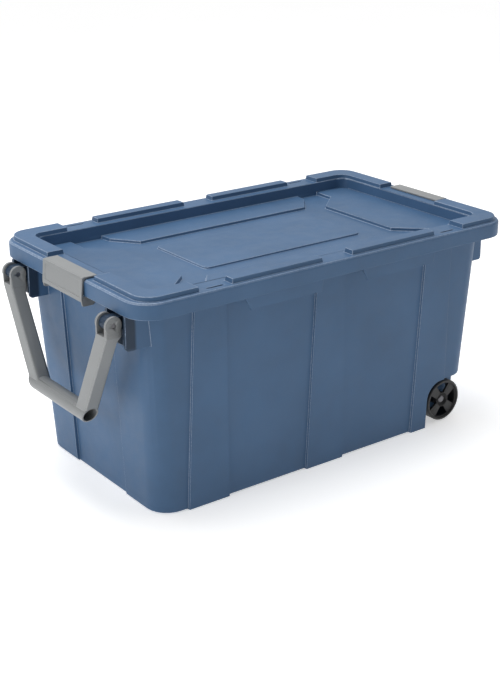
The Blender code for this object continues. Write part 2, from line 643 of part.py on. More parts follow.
def make_lid(material):
    half_x, half_y = SKIRT_X, SKIRT_Y
    rings = [ring_at(rounded(half_x, half_y, LID_CORNER), SKIRT_Z)]
    for i in range(4):
        angle = math.radians(30 * i)
        inset = SKIRT_ROUND * (1 - math.cos(angle))
        z = SHELF_Z - SKIRT_ROUND * (1 - math.sin(angle))
        rings.append(ring_at(rounded(half_x - inset, half_y - inset, LID_CORNER - inset), z))
    lid = loft("lid", rings)
    for outline in ridge_outlines():
        top = inset_outline(outline, RIDGE_SLOPE)
        join(lid, sloped("ridge", outline, top, SHELF_Z - WALL / 2, LID_TOP))
    low = rounded(PAN_HALF_X, PAN_HALF_Y, PAN_CORNER)
    high = rounded(PAN_HALF_X + PAN_SLOPE, PAN_HALF_Y + PAN_SLOPE, PAN_CORNER + PAN_SLOPE)
    cut(lid, sloped("pan", low, high, PAN_Z, LID_TOP + OVERLAP))
    inside = rounded(half_x - WALL, half_y - WALL, LID_CORNER - WALL)
    under = slab("under", inside, SKIRT_Z - OVERLAP, LID_UNDER_Z)
    low = rounded(PAN_HALF_X + WALL, PAN_HALF_Y + WALL, PAN_CORNER + WALL)
    reach = PAN_SLOPE + WALL
    high = rounded(PAN_HALF_X + reach, PAN_HALF_Y + reach, PAN_CORNER + reach)
    pan_shell = sloped("pan_shell", low, high, PAN_Z - WALL, LID_TOP)
    join(lid, slab("pan_floor", low, PAN_Z - WALL, PAN_Z - OVERLAP / 2))
    cut(under, pan_shell)
    cut(lid, under)
    for outline in ridge_outlines():
        inner = inset_outline(outline, WALL + RIDGE_SLOPE)
        cut(lid, slab("ridge_hollow", inner, LID_UNDER_Z - OVERLAP, LID_TOP - WALL))
    plateaus = [(end_plateau(sign), END_PLATEAU_RISE) for sign in (-1, 1)]
    plateaus += [(side_plateau(sign), SIDE_PLATEAU_RISE) for sign in (-1, 1)]
    plateaus.append((centre_panel(), CENTRE_PANEL_RISE))
    for outline, rise in plateaus:
        top = inset_outline(outline, PLATEAU_SLOPE)
        join(lid, sloped("plateau", outline, top, PAN_Z - WALL / 2, PAN_Z + rise))
    for outline, rise in plateaus:
        inner = inset_outline(outline, 2 * WALL)
        cut(lid, slab("plateau_hollow", inner, PAN_Z - WALL - OVERLAP, PAN_Z + rise - WALL))
    for sign in (-1, 1):
        for centre in TIE_SLOTS:
            cut(lid, tie_slot(sign, centre, 0.0))
    finish(lid, material)
    return lid


# ---------------------------------------------------------------- latches
def make_latch(name, end, material):
    """A snap latch, hung on two pegs under the skirt and hooked over the lid's edge."""
    inner_x = SKIRT_X + LATCH_FACE_GAP
    outer_x = inner_x + LATCH_THICK
    lip_low = SHELF_Z + LATCH_LIP_GAP
    lip_high = lip_low + LATCH_THICK
    lip_x = SKIRT_X - LATCH_LIP
    foot = SKIRT_Z - LATCH_DROP
    foot_top = foot + LATCH_FOOT
    edge = LATCH_ROUND / 4
    back_x = inner_x + LATCH_LEAN - LATCH_ROUND
    profile = [(outer_x + LATCH_LEAN, foot), (outer_x + LATCH_LEAN, foot_top),
               (outer_x, lip_high - LATCH_ROUND), (outer_x - edge, lip_high - edge),
               (outer_x - LATCH_ROUND, lip_high), (lip_x + edge, lip_high),
               (lip_x, lip_high - edge), (lip_x, SHELF_Z + GAP), (lip_x + LATCH_BEAD, SHELF_Z + GAP),
               (lip_x + LATCH_BEAD + edge, lip_low), (inner_x - LATCH_ROUND, lip_low),
               (inner_x, lip_low - LATCH_ROUND), (inner_x + LATCH_LEAN - SLIP, foot_top),
               (back_x, foot + LATCH_FOOT / 2), (back_x, foot)]
    profile = [(end * x, z) for x, z in profile]
    latch = along_y(name, profile, -LATCH_HALF, LATCH_HALF)
    low = SKIRT_Z - LATCH_CHEEK_DROP
    high = SKIRT_Z - SLIP
    back = LATCH_PIVOT_X - LATCH_PEG - WALL
    front = outer_x + LATCH_LEAN
    cheek = [(front, foot_top - edge), (front - LATCH_ROUND / 2, low + LATCH_ROUND / 2),
             (front - 1.5 * LATCH_ROUND, low), (back + WALL, low), (back, low + WALL),
             (back, high), (inner_x + OVERLAP / 2, high)]
    cheek = [(end * x, z) for x, z in cheek]
    for side in (-1, 1):
        ends = sorted((side * (LATCH_HALF - LATCH_CHEEK), side * LATCH_HALF))
        join(latch, along_y("cheek", cheek, *ends))
        ends = sorted((side * (LATCH_HALF - 2 * LATCH_CHEEK - SLIP), side * (LATCH_HALF - LATCH_CHEEK / 2)))
        join(latch, rod("peg", (end * LATCH_PIVOT_X, LATCH_PIVOT_Z), LATCH_PEG, *ends, 16))
    sunk_low = foot + LATCH_BORDER
    sunk_high = lip_high - LATCH_BORDER
    lean = LATCH_LEAN / (lip_high - LATCH_ROUND - foot_top)
    rings = []
    for depth, shrink in ((LATCH_SUNK, edge), (-WALL, 0.0)):
        ring = []
        for z, sign in ((sunk_low, -1), (sunk_low, 1), (sunk_high, 1), (sunk_high, -1)):
            height = z + (shrink if z == sunk_low else -shrink)
            face = outer_x + lean * (lip_high - LATCH_ROUND - height)
            y = sign * (LATCH_HALF - LATCH_BORDER - shrink)
            ring.append((end * (face - depth), y, height))
        rings.append(ring)
    cut(latch, loft("sunk_face", rings))
    finish(latch, material)
    set_origin(latch, (end * LATCH_PIVOT_X, 0.0, LATCH_PIVOT_Z))
    return latch


# ---------------------------------------------------------------- pull handle
def arm_y(z):
    """Middle of an arm at height z: upright in the clevis, then turning in to the grip."""
    outer_top = PIVOT_Y + CLEVIS_WIDTH / 2
    lean = (outer_top - GRIP_HALF) / (ARM_TURN_Z - GRIP_Z + GRIP_RADIUS)
    return PIVOT_Y - max(0.0, ARM_TURN_Z - z) * lean


def arm_solid(side):
    """One arm with its clevis, as one solid."""
    half = CLEVIS_WIDTH / 2
    back = PIVOT_X + ARM_BACK
    shoulder = ARM_TURN_Z - OVERLAP
    cheek_back = PIVOT_X + CHEEK_RADIUS
    stations = ((GRIP_Z, back), (shoulder - ARM_SHOULDER, back), (shoulder, cheek_back),
                (PIVOT_Z, cheek_back))
    rings = []
    for z, rear in stations:
        middle = ((ARM_FRONT_X + rear) / 2, side * arm_y(z))
        rings.append(ring_at(rounded((rear - ARM_FRONT_X) / 2, half, ARM_EDGE, middle, 3), z))
    arm = loft("arm", rings)
    edge = side * PIVOT_Y
    join(arm, rod("top", (PIVOT_X, PIVOT_Z), CHEEK_RADIUS, edge - half, edge + half))
    return arm


def outside_arm(side):
    """Everything beyond the slanted outer face of an arm, to trim the grip's end."""
    half = CLEVIS_WIDTH / 2
    low, high = GRIP_Z - 2 * GRIP_RADIUS, ARM_TURN_Z
    far = side * BIN_WIDTH
    outline = [(side * (arm_y(low) + half), low), (far, low), (far, high),
               (side * (arm_y(high) + half), high)]
    rings = [[(x, y, z) for y, z in outline] for x in (GRIP_X - 2 * GRIP_RADIUS, GRIP_X + 2 * GRIP_RADIUS)]
    return loft("outside", rings)


def make_handle(material):
    reach = GRIP_HALF + GRIP_RADIUS
    handle = rod("pull_handle", (GRIP_X, GRIP_Z), GRIP_RADIUS, -reach, reach, 36)
    for side in (-1, 1):
        join(handle, arm_solid(side))
        cut(handle, outside_arm(side))
    cut(handle, rod("bore", (GRIP_X, GRIP_Z), GRIP_BORE, -2 * reach, 2 * reach, 36))
    for side in (-1, 1):
        middle = side * PIVOT_Y
        slot_low = (ARM_FRONT_X - OVERLAP, middle - CHEEK_GAP, PIVOT_Z - CLEVIS_DEPTH)
        slot_high = (PIVOT_X + CHEEK_RADIUS + OVERLAP, middle + CHEEK_GAP, PIVOT_Z + CHEEK_RADIUS + OVERLAP)
        cut(handle, box("slot", slot_low, slot_high))
        half = CLEVIS_WIDTH / 2 + OVERLAP
        cut(handle, rod("pin_hole", (PIVOT_X, PIVOT_Z), PIN_RADIUS + GAP, middle - half, middle + half))
    finish(handle, material)
    set_origin(handle, (PIVOT_X, 0.0, PIVOT_Z))
    return handle


def make_pin(name, side, material):
    half = CLEVIS_WIDTH / 2 - PIN_SHORT
    middle = side * PIVOT_Y
    pin = rod(name, (PIVOT_X, PIVOT_Z), PIN_RADIUS, middle - half, middle + half)
    finish(pin, material)
    set_origin(pin, (PIVOT_X, middle, PIVOT_Z))
    return pin


# ---------------------------------------------------------------- wheels
def spoke_window(angle, side):
    """The three-sided opening between two spokes."""
    outer = WHEEL_RADIUS - RIM_THICK - WHEEL_EDGE
    inner = HUB_RADIUS + SLIP
    points = []
    for radius, order in ((outer, 1), (inner, -1)):
        spread = 45 - math.degrees(math.asin(SPOKE_HALF / radius))
        start, stop = angle - spread, angle + spread
        if order < 0:
            start, stop = stop, start
        points.extend(arc((WHEEL_X, WHEEL_Z), radius, start, stop, 6 if order > 0 else 2))
    ends = sorted((side * (WHEEL_FACE_Y + OVERLAP), side * (WHEEL_FACE_Y - WHEEL_WIDTH / 2)))
    return along_y("window", points, *ends)


def make_wheel(name, side, material):
    face = WHEEL_FACE_Y
    back = WHEEL_FACE_Y - WHEEL_WIDTH
    edge = WHEEL_EDGE
    rim_in = WHEEL_RADIUS - RIM_THICK
    web_front = face - WHEEL_WEB
    dish = face - WHEEL_DISH
    profile = [(AXLE_BORE, dish), (HUB_RADIUS - 2.5 * edge, dish), (HUB_RADIUS - edge / 2, web_front),
               (rim_in - edge / 2, web_front), (rim_in + edge / 4, face), (WHEEL_RADIUS - edge, face),
               (WHEEL_RADIUS, face - edge), (WHEEL_RADIUS, back + edge), (WHEEL_RADIUS - edge, back),
               (rim_in, back), (rim_in, dish), (HUB_RADIUS, dish),
               (HUB_RADIUS - edge, back), (AXLE_BORE, back)]
    wheel = turned(name, profile, (WHEEL_X, WHEEL_Z), side, 40)
    for quarter in range(4):
        cut(wheel, spoke_window(90 * quarter, side))
    finish(wheel, material)
    set_origin(wheel, (WHEEL_X, side * (face - WHEEL_WIDTH / 2), WHEEL_Z))
    return wheel


def make_axle(name, side, material):
    """A headed axle, through the wheel and the wall of its well."""
    head_back = WHEEL_FACE_Y - WHEEL_DISH + GAP
    end = WELL_Y - WALL - NUT_THICK - AXLE_TAIL
    profile = [(AXLE_HEAD, head_back), (AXLE_HEAD, head_back + AXLE_HEAD_THICK / 2),
               (AXLE_HEAD * 0.75, head_back + AXLE_HEAD_THICK)]
    shank_end = head_back + AXLE_HEAD_THICK / 4
    axle = rod(name, (WHEEL_X, WHEEL_Z), AXLE_RADIUS, *sorted((side * end, side * shank_end)))
    rings = []
    for radius, y in profile:
        circle = arc((WHEEL_X, WHEEL_Z), radius, 0, 360 - 360 / ROUND_STEPS, ROUND_STEPS - 1)
        rings.append([(x, side * y, z) for x, z in circle])
    join(axle, loft("head", rings))
    finish(axle, material)
    set_origin(axle, (WHEEL_X, side * end, WHEEL_Z))
    return axle


def make_push_nut(name, side, material):
    """The sprung cap that holds the axle from inside the bin."""
    outer = WELL_Y - WALL - GAP
    inner = outer - NUT_THICK
    bore = AXLE_RADIUS + GAP
    profile = [(bore, outer), (NUT_RADIUS, outer), (NUT_RADIUS, outer - NUT_FLANGE),
               (NUT_RADIUS - WALL, inner), (bore, inner)]
    nut = turned(name, profile, (WHEEL_X, WHEEL_Z), side, 20)
    finish(nut, material)
    set_origin(nut, (WHEEL_X, side * outer, WHEEL_Z))
    return nut


# ---------------------------------------------------------------- assembly
def main():
    clear_scene()
    blue = plastic("blue_plastic", (0.13, 0.19, 0.30), 0.45)
    grey = plastic("grey_plastic", (0.33, 0.34, 0.34), 0.5)
    black = plastic("black_plastic", (0.03, 0.03, 0.03), 0.5)
    steel = plastic("steel", (0.45, 0.44, 0.42), 0.35, 1.0)
    make_bin(blue)
    make_lid(blue)
    make_latch("latch_handle_end", -1, grey)
    make_latch("latch_wheel_end", 1, grey)
    make_handle(grey)
    for word, side in (("right", -1), ("left", 1)):
        make_pin("handle_pin_" + word, side, steel)
        make_wheel("wheel_" + word, side, black)
        make_axle("wheel_axle_" + word, side, steel)
        make_push_nut("axle_push_nut_" + word, side, steel)


main()
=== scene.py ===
import json
import math

import bmesh
import bpy
import numpy as np
from bpy.props import FloatProperty, FloatVectorProperty, IntProperty, PointerProperty
from mathutils import Matrix, Vector


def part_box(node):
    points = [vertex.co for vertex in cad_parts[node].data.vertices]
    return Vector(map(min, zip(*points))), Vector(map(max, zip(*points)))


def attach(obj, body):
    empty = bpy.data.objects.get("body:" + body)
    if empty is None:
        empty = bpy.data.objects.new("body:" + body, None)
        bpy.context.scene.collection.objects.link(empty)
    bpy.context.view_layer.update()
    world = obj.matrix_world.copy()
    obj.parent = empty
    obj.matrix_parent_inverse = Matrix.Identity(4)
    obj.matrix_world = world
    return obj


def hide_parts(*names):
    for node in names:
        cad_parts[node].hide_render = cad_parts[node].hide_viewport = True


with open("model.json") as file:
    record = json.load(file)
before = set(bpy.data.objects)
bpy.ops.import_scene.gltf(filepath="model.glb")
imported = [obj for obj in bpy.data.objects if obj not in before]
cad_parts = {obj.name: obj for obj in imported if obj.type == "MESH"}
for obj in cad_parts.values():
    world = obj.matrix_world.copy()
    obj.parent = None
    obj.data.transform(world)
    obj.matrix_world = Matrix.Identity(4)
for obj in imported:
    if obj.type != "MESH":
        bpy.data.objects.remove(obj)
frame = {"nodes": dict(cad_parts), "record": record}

bl_info = {
    "name": "Deck storage box",
    "version": (1, 0, 0),
    "blender": (4, 5, 0),
    "location": "View3D > Sidebar > Deck box",
    "description": "Moulded shells, hardware and studio for a wheeled storage box",
    "category": "Object",
}

SHELL_ANGLE = 27.0              # edges sharper than this are rounded, in degrees
FINE_ANGLE = 24.0               # the same on the pull handle and the wheels
FINE_STEPS = 3                  # and the steps in each of their roundings
WELD = 2e-5                     # corners nearer than this are one corner
SHORT_EDGE = 1.7                # edges shorter than this many widths keep their corner
VOLUME_DRIFT = 0.005            # share of its volume a piece may gain or lose
BOX_DRIFT = 0.0012              # how far its box may move
EDGE_ATTRIBUTE = "worn"                   # face attribute, 1 on the rounded edges
GUSSET_END = 0.095              # the last gusset, in from the end of the rim
GUSSET_LIP = 0.0036             # gussets stop this far inside the rim's outer face
GUSSET_DEPTH = 0.0275
GUSSET_UNDER = 0.0032           # and this far under its top
GUSSET_TALL = 0.020
GUSSET_CUT = 0.6                # share of the depth cut from a gusset's outer lower corner
SPOKES = 4
SPOKE_FROM = 0.0150             # webs start inside the hub
SPOKE_RIM = 0.0050              # and end this far inside the tread
SPOKE_FACE = 0.0070             # middle of their thickness, in from the wheel's face
SPOKE_THICK = 0.0052
SPOKE_WIDE = 0.0205             # width halfway out
SPOKE_FLARE = 0.45              # wider at the rim and narrower at the hub by this share
TOOTH = (0.0030, 0.0007, 0.0024)        # along the radius, along the axle and across
TOOTH_RADIUS = 0.0082           # middle of a tooth, out from the axle
TOOTH_LEAN = 0.30               # radians
PAINTED_SHADE_X = (-0.448, -0.443)     # where the painted shade behind the brackets starts and is full
PAINTED_SHADE_Y = (0.120, 0.135)
PAINTED_SHADE_Z = (0.345, 0.365)
PAINTED_SHADE_STRENGTH = 0.80             # how nearly black the painted shade gets there
PLASTIC_IOR = 1.49
PATCHES = 7.0                   # scales of the noises on plastic: slow colour patches,
FLOW = 34.0                     # flow of the melt,
RUBBING = 260.0                 # rubbed places on the edges
WAVES = 11.0                    # and waves in the faces
SPOTS = 420.0                   # scales on steel: dull spots
TURNING = 4.0                   # and marks of turning,
TURNING_STRETCH = (6.0, 900.0, 6.0)     # drawn out into rings round Y
WAVE_BUMP = 0.0012              # height of the slow waves in a moulded face
GRAIN_BUMP = 0.00018            # of its grain
TURNED_BUMP = 0.0001            # and of the marks on turned steel
FINISHES = {                    # the plastics; each name starts with its colour setting
    # the bin's plastic also carries the painted shade behind the pull handle's brackets
    "blue_bin": dict(matt=0.46, grain=1500.0, edge=0.66, sheen=0.34, painted_recess_shade=True),
    "blue_lid": dict(matt=0.46, grain=1500.0, edge=0.66, sheen=0.34),
    "grey_satin": dict(matt=0.40, grain=1900.0, edge=0.26, variation=0.06),
    "black_moulded": dict(matt=0.46, grain=1300.0, edge=0.10, variation=0.16),
}
CAMERA_AZIMUTH = -36.657        # degrees, 0 looks along +Y
CAMERA_ELEVATION = 21.296
CAMERA_ROLL = -0.109
CAMERA_DISTANCE = 2.8632
CAMERA_TARGET = (0.0, 0.0, 0.22)
CAMERA_OFFSET = (0.0208, 0.0148)
CAMERA_LENS = 69.9              # millimetres, on a sensor this wide
CAMERA_SENSOR = 36.0
KEY_PLACE = (-2.8, -0.35, 1.5)
KEY_TARGET = (0.0, 0.0, 0.25)
KEY_SIZE = 1.3
TOP_PLACE = (-0.3, 0.5, 2.9)
TOP_TARGET = (0.0, 0.0, 0.2)
TOP_SIZE = 2.2
DARK_SIDE = (-0.30, 0.70)       # cosines where the surround starts to darken and is darkest
FLOOR_HALF = 15.0               # half the floor's side
FLOOR_DROP = 0.0004             # the floor lies this far under the box


# ---------------------------------------------------------------- settings
class BoxSizes(bpy.types.PropertyGroup):
    """Sizes of the moulded detail."""

    shell_round: FloatProperty(
        name="Shell edge", default=0.0026, min=0.0001, unit="LENGTH",
        description="Width of the rounding along the edges of the bin and the lid")
    latch_round: FloatProperty(
        name="Latch edge", default=0.0009, min=0.0001, unit="LENGTH",
        description="Width of the rounding along the edges of the latches")
    handle_round: FloatProperty(
        name="Handle edge", default=0.0014, min=0.0001, unit="LENGTH",
        description="Width of the rounding along the edges of the pull handle")
    wheel_round: FloatProperty(
        name="Wheel edge", default=0.0010, min=0.0001, unit="LENGTH",
        description="Width of the rounding along the edges of the wheels")
    metal_round: FloatProperty(
        name="Metal edge", default=0.0003, min=0.00005, unit="LENGTH",
        description="Width of the rounding along the edges of pins, axles and nuts")
    gusset_gap: FloatProperty(
        name="Gusset spacing", default=0.062, min=0.01, unit="LENGTH",
        description="Distance between the stiffening plates under the rim")
    gusset_thick: FloatProperty(
        name="Gusset thickness", default=0.0018, min=0.0005, unit="LENGTH",
        description="Thickness of the stiffening plates under the rim")
    nut_teeth: IntProperty(
        name="Nut teeth", default=6, min=3,
        description="Number of spring teeth round each push nut")


class BoxColours(bpy.types.PropertyGroup):
    """Colours of the plastics and the metal, as linear values."""

    blue: FloatVectorProperty(
        name="Blue plastic", subtype="COLOR", default=(0.054, 0.120, 0.230),
        description="Body colour of the bin and the lid")
    grey: FloatVectorProperty(
        name="Grey plastic", subtype="COLOR", default=(0.228, 0.238, 0.242),
        description="Colour of the latches and the pull handle")
    black: FloatVectorProperty(
        name="Black plastic", subtype="COLOR", default=(0.025, 0.025, 0.026),
        description="Colour of the wheels")
    steel: FloatVectorProperty(
        name="Dull steel", subtype="COLOR", default=(0.17, 0.17, 0.18),
        description="Colour of pins, axles and nuts")
    floor: FloatVectorProperty(
        name="Floor", subtype="COLOR", default=(0.90, 0.90, 0.90),
        description="Colour of the studio floor")


class BoxLight(bpy.types.PropertyGroup):
    """Strengths of the studio light."""

    key: FloatProperty(
        name="Key light", default=20.0, min=0.0, unit="POWER",
        description="Power of the soft light on the handle end")
    top: FloatProperty(
        name="Top light", default=52.0, min=0.0, unit="POWER",
        description="Power of the soft light overhead")
    surround: FloatProperty(
        name="Surround", default=0.84, min=0.0,
        description="Strength of the white surround")
    shaded: FloatProperty(
        name="Dark side", default=0.93, min=0.0, max=1.0, subtype="FACTOR",
        description="How much darker the surround is on the side the box is viewed from")
    glow: FloatProperty(
        name="Floor glow", default=0.48, min=0.0,
        description="Light that the floor gives off, so that it reads as pure white")


# ---------------------------------------------------------------- materials
class Graph:
    """Adds and links the nodes of one tree."""

    def __init__(self, tree):
        self.tree = tree
        self.tree.nodes.clear()

    def add(self, kind, values=None, **settings):
        """A new node; each value is a link when it is a socket, otherwise a constant."""
        node = self.tree.nodes.new(kind)
        for key, value in settings.items():
            setattr(node, key, value)
        for key, value in (values or {}).items():
            if isinstance(value, bpy.types.NodeSocket):
                self.tree.links.new(value, node.inputs[key])
            else:
                node.inputs[key].default_value = value
        return node

    def noise(self, coordinate, scale, detail=2.0, roughness=0.5):
        node = self.add("ShaderNodeTexNoise", {
            "Vector": coordinate, "Scale": scale, "Detail": detail, "Roughness": roughness})
        return node.outputs["Fac"]

    def spread(self, value, low, high, from_low=0.3, from_high=0.7):
        """The value stretched from one range to another, and kept inside it."""
        node = self.add("ShaderNodeMapRange", {
            "Value": value, "From Min": from_low, "From Max": from_high,
            "To Min": low, "To Max": high})
        return node.outputs["Result"]

    def maths(self, operation, first, second):
        node = self.add("ShaderNodeMath", {0: first, 1: second}, operation=operation)
        return node.outputs[0]

    def mix(self, factor, first, second):
        node = self.add("ShaderNodeMix", {0: factor, 6: first, 7: second}, data_type="RGBA")
        return node.outputs[2]


def shade(colour, factor):
    """The colour made lighter or darker, with full opacity."""
    return tuple(min(1.0, c * factor) for c in colour) + (1.0,)


def moulded(name, colour, matt, grain, edge, variation=0.10, sheen=0.45, painted_recess_shade=False):
    """Moulded plastic with a fine grain, slow colour changes, soft waves and edges worn by
    rubbing.
    Rounded edges that face the handle end or up get a painted highlight, and those that
    face the wheel end get a painted shade. With the recess setting on, the places behind the
    pull handle's brackets get a painted shade. matt is the roughness, grain the scale of
    the fine noise, edge how strong the painted edge highlight gets, variation how far the
    colour wanders and sheen how strongly it reflects."""
    material = bpy.data.materials.new(name)
    material.use_nodes = True
    g = Graph(material.node_tree)
    place = g.add("ShaderNodeTexCoord").outputs["Object"]
    slow = g.noise(place, PATCHES, 3.0)
    flow = g.noise(place, FLOW, 4.0, 0.6)
    fine = g.noise(place, grain, 2.0, 0.6)
    rub = g.noise(place, RUBBING, 5.0, 0.65)
    waves = g.noise(place, WAVES, 1.0)
    body = g.mix(
        g.spread(slow, 0.0, 1.0), shade(colour, 1 - variation), shade(colour, 1 + variation))
    body = g.mix(g.spread(flow, 0.0, 0.16), body, shade(colour, 1.35))
    body = g.mix(g.spread(fine, 0.0, 0.22), body, shade(colour, 0.72))
    worn = g.add("ShaderNodeAttribute", attribute_name=EDGE_ATTRIBUTE).outputs["Fac"]
    # Rubbing on the rounded edges: it lowers the roughness there and also sets where the
    # painted edge highlight and shade go.
    rubbed_and_lit_edge = g.maths("MULTIPLY", worn, g.spread(rub, 0.35, 1.0, 0.35, 0.65))
    facing = g.add("ShaderNodeSeparateXYZ", {
        0: g.add("ShaderNodeTexCoord").outputs["Normal"]})
    to_light = g.maths(
        "SUBTRACT", g.maths("MULTIPLY", facing.outputs[2], 0.5), facing.outputs[0])
    # Painted edge highlight and shade: rounded edges that face the key light at the handle end
    # or up are painted pale, and those that face the wheel end are painted dark.
    pale = g.maths("MULTIPLY", rubbed_and_lit_edge, g.spread(to_light, 0.0, edge, 0.05, 0.60))
    dull = g.maths("MULTIPLY", rubbed_and_lit_edge, g.spread(to_light, 0.55, 0.0, -0.60, 0.0))
    highlight = tuple(0.30 + 1.1 * c for c in colour)
    body = g.mix(dull, body, shade(colour, 0.45))
    body = g.mix(pale, body, shade(highlight, 1.0))
    # Painted shade: the bin is darkened behind the pull handle's brackets, where shade falls,
    # but not on the painted edge highlight.
    if painted_recess_shade:
        at = g.add("ShaderNodeSeparateXYZ", {0: place})
        out = g.spread(at.outputs[0], 1.0, 0.0, *PAINTED_SHADE_X)
        high = g.spread(at.outputs[2], 0.0, 1.0, *PAINTED_SHADE_Z)
        across = g.maths("ABSOLUTE", at.outputs[1], 0.0)
        beside = g.spread(across, 0.0, 1.0, *PAINTED_SHADE_Y)
        dark = g.maths("MULTIPLY", g.maths("MULTIPLY", out, high), beside)
        off_highlight = g.maths("SUBTRACT", 1.0, g.maths("MULTIPLY", pale, 1.2))
        dark = g.maths("MULTIPLY", g.maths("MULTIPLY", dark, off_highlight), PAINTED_SHADE_STRENGTH)
        body = g.mix(dark, body, shade(colour, 0.10))
    rough = g.maths(
        "ADD", g.spread(flow, matt - 0.05, matt + 0.07), g.spread(fine, 0.0, 0.05))
    rough = g.maths("SUBTRACT", rough, g.maths("MULTIPLY", rubbed_and_lit_edge, 0.08))
    long_bump = g.add("ShaderNodeBump", {
        "Strength": 0.35, "Distance": WAVE_BUMP, "Height": waves})
    fine_bump = g.add("ShaderNodeBump", {
        "Strength": 0.30, "Distance": GRAIN_BUMP, "Height": fine,
        "Normal": long_bump.outputs[0]})
    shader = g.add("ShaderNodeBsdfPrincipled", {
        "Base Color": body, "Roughness": rough, "Normal": fine_bump.outputs[0],
        "Specular IOR Level": sheen, "IOR": PLASTIC_IOR})
    g.add("ShaderNodeOutputMaterial", {"Surface": shader.outputs[0]})
    material.diffuse_color = shade(colour, 1.0)
    return material


def zinc(name, colour):
    """Zinc-plated steel: turning marks round Y, dull spots and bright edges."""
    material = bpy.data.materials.new(name)
    material.use_nodes = True
    g = Graph(material.node_tree)
    place = g.add("ShaderNodeTexCoord").outputs["Object"]
    turned = g.add("ShaderNodeMapping", {"Vector": place, "Scale": TURNING_STRETCH})
    marks = g.noise(turned.outputs[0], TURNING, 3.0, 0.6)
    spots = g.noise(place, SPOTS, 4.0, 0.6)
    worn = g.add("ShaderNodeAttribute", attribute_name=EDGE_ATTRIBUTE).outputs["Fac"]
    body = g.mix(g.spread(spots, 0.0, 0.5), shade(colour, 1.0), shade(colour, 0.68))
    body = g.mix(g.maths("MULTIPLY", worn, 0.6), body, shade(colour, 1.5))
    rough = g.maths("ADD", g.spread(spots, 0.26, 0.46), g.spread(marks, 0.0, 0.10))
    bump = g.add("ShaderNodeBump", {
        "Strength": 0.25, "Distance": TURNED_BUMP, "Height": marks})
    shader = g.add("ShaderNodeBsdfPrincipled", {
        "Base Color": body, "Roughness": rough, "Normal": bump.outputs[0], "Metallic": 1.0})
    g.add("ShaderNodeOutputMaterial", {"Surface": shader.outputs[0]})
    material.diffuse_color = shade(colour, 1.0)
    return material


def finish_for(name):
    """The material called name, made on its first use."""
    found = bpy.data.materials.get(name)
    if found is not None:
        return found
    colours = bpy.context.scene.box_colours
    if name == "zinc_steel":
        return zinc(name, tuple(colours.steel))
    colour = getattr(colours, name.split("_")[0])
    return moulded(name, tuple(colour), **FINISHES[name])


# ---------------------------------------------------------------- meshes
def link(name, mesh, material):
    """A new object in the scene with that mesh and one material."""
    mesh.materials.clear()
    mesh.materials.append(material)
    obj = bpy.data.objects.new(name, mesh)
    bpy.context.scene.collection.objects.link(obj)
    return obj


def baked(obj):
    """Puts what obj's modifiers make into its mesh, and takes the modifiers off."""
    depsgraph = bpy.context.evaluated_depsgraph_get()
    mesh = bpy.data.meshes.new_from_object(obj.evaluated_get(depsgraph))
    mesh.name = obj.name
    old = obj.data
    obj.modifiers.clear()
    obj.data = mesh
    bpy.data.meshes.remove(old)
    return obj


def welded(node):
    """The solid of a CAD node with its loose triangles joined."""
    source = frame["nodes"][node].data
    plain = bpy.data.meshes.new("plain")
    plain.from_pydata(
        [v.co[:] for v in source.vertices], [], [p.vertices[:] for p in source.polygons])
    bm = bmesh.new()
    bm.from_mesh(plain)
    bpy.data.meshes.remove(plain)
    bmesh.ops.remove_doubles(bm, verts=bm.verts, dist=WELD)
    bmesh.ops.recalc_face_normals(bm, faces=bm.faces)
    return bm


def extent(bm):
    """Volume and the two box corners of a mesh, to tell whether its shape was kept."""
    places = np.array([v.co for v in bm.verts])
    return bm.calc_volume(), places.min(0), places.max(0)


def softened(node, name, width, material, angle=SHELL_ANGLE, segments=2):
    """A piece with a CAD node's shape, with its sharp edges rounded and marked in a face
    attribute of rounded edges.
    """
    bm = welded(node)
    volume, low, high = extent(bm)
    limit = math.radians(angle)
    sharp = [e for e in bm.edges if len(e.link_faces) == 2
             and e.calc_face_angle(0.0) > limit and e.calc_length() > SHORT_EDGE * width]
    bmesh.ops.bevel(
        bm, geom=sharp, offset=width / 2, offset_type="OFFSET", segments=segments,
        profile=0.5, affect="EDGES", clamp_overlap=False, material=1,
        miter_outer="SHARP", loop_slide=True)
    new_volume, new_low, new_high = extent(bm)
    drift = max(abs(new_low - low).max(), abs(new_high - high).max())
    closed = all(len(e.link_faces) == 2 for e in bm.edges)
    if abs(new_volume / volume - 1) > VOLUME_DRIFT or drift > BOX_DRIFT or not closed:
        raise RuntimeError(name + " lost its shape while its edges were rounded")
    worn = bm.faces.layers.float.new(EDGE_ATTRIBUTE)
    for face in bm.faces:
        face.smooth = True
        if face.material_index == 1:
            face[worn] = 1.0
            face.material_index = 0
    mesh = bpy.data.meshes.new(name)
    bm.to_mesh(mesh)
    bm.free()
    obj = link(name, mesh, material)
    weights = obj.modifiers.new("weights", "WEIGHTED_NORMAL")
    weights.mode = "FACE_AREA"
    weights.weight = 60
    return baked(obj)


def placed(obj, body, slot, *nodes):
    """Ties a finished piece to its body and hides the CAD nodes it stands for; slot is not
    used.
    """
    if len(obj.data.polygons) == 0:
        raise RuntimeError(obj.name + " came out empty")
    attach(obj, body)
    if nodes:
        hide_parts(*nodes)
    return obj


# ---------------------------------------------------------------- node trees
def new_tree(name, inputs):
    """An empty geometry tree with those inputs, as (graph, input node)."""
    tree = bpy.data.node_groups.new(name, "GeometryNodeTree")
    tree.interface.new_socket("Geometry", in_out="INPUT", socket_type="NodeSocketGeometry")
    for label, kind in inputs:
        tree.interface.new_socket(label, in_out="INPUT", socket_type=kind)
    tree.interface.new_socket("Geometry", in_out="OUTPUT", socket_type="NodeSocketGeometry")
    g = Graph(tree)
    return g, g.add("NodeGroupInput")


def close_tree(g, instances, material):
    """Ends a tree: instances made real, given their material, and put out."""
    real = g.add("GeometryNodeRealizeInstances", {"Geometry": instances})
    done = g.add("GeometryNodeSetMaterial", {
        "Geometry": real.outputs[0], "Material": material})
    g.add("NodeGroupOutput", {"Geometry": done.outputs[0]})
    return g.tree


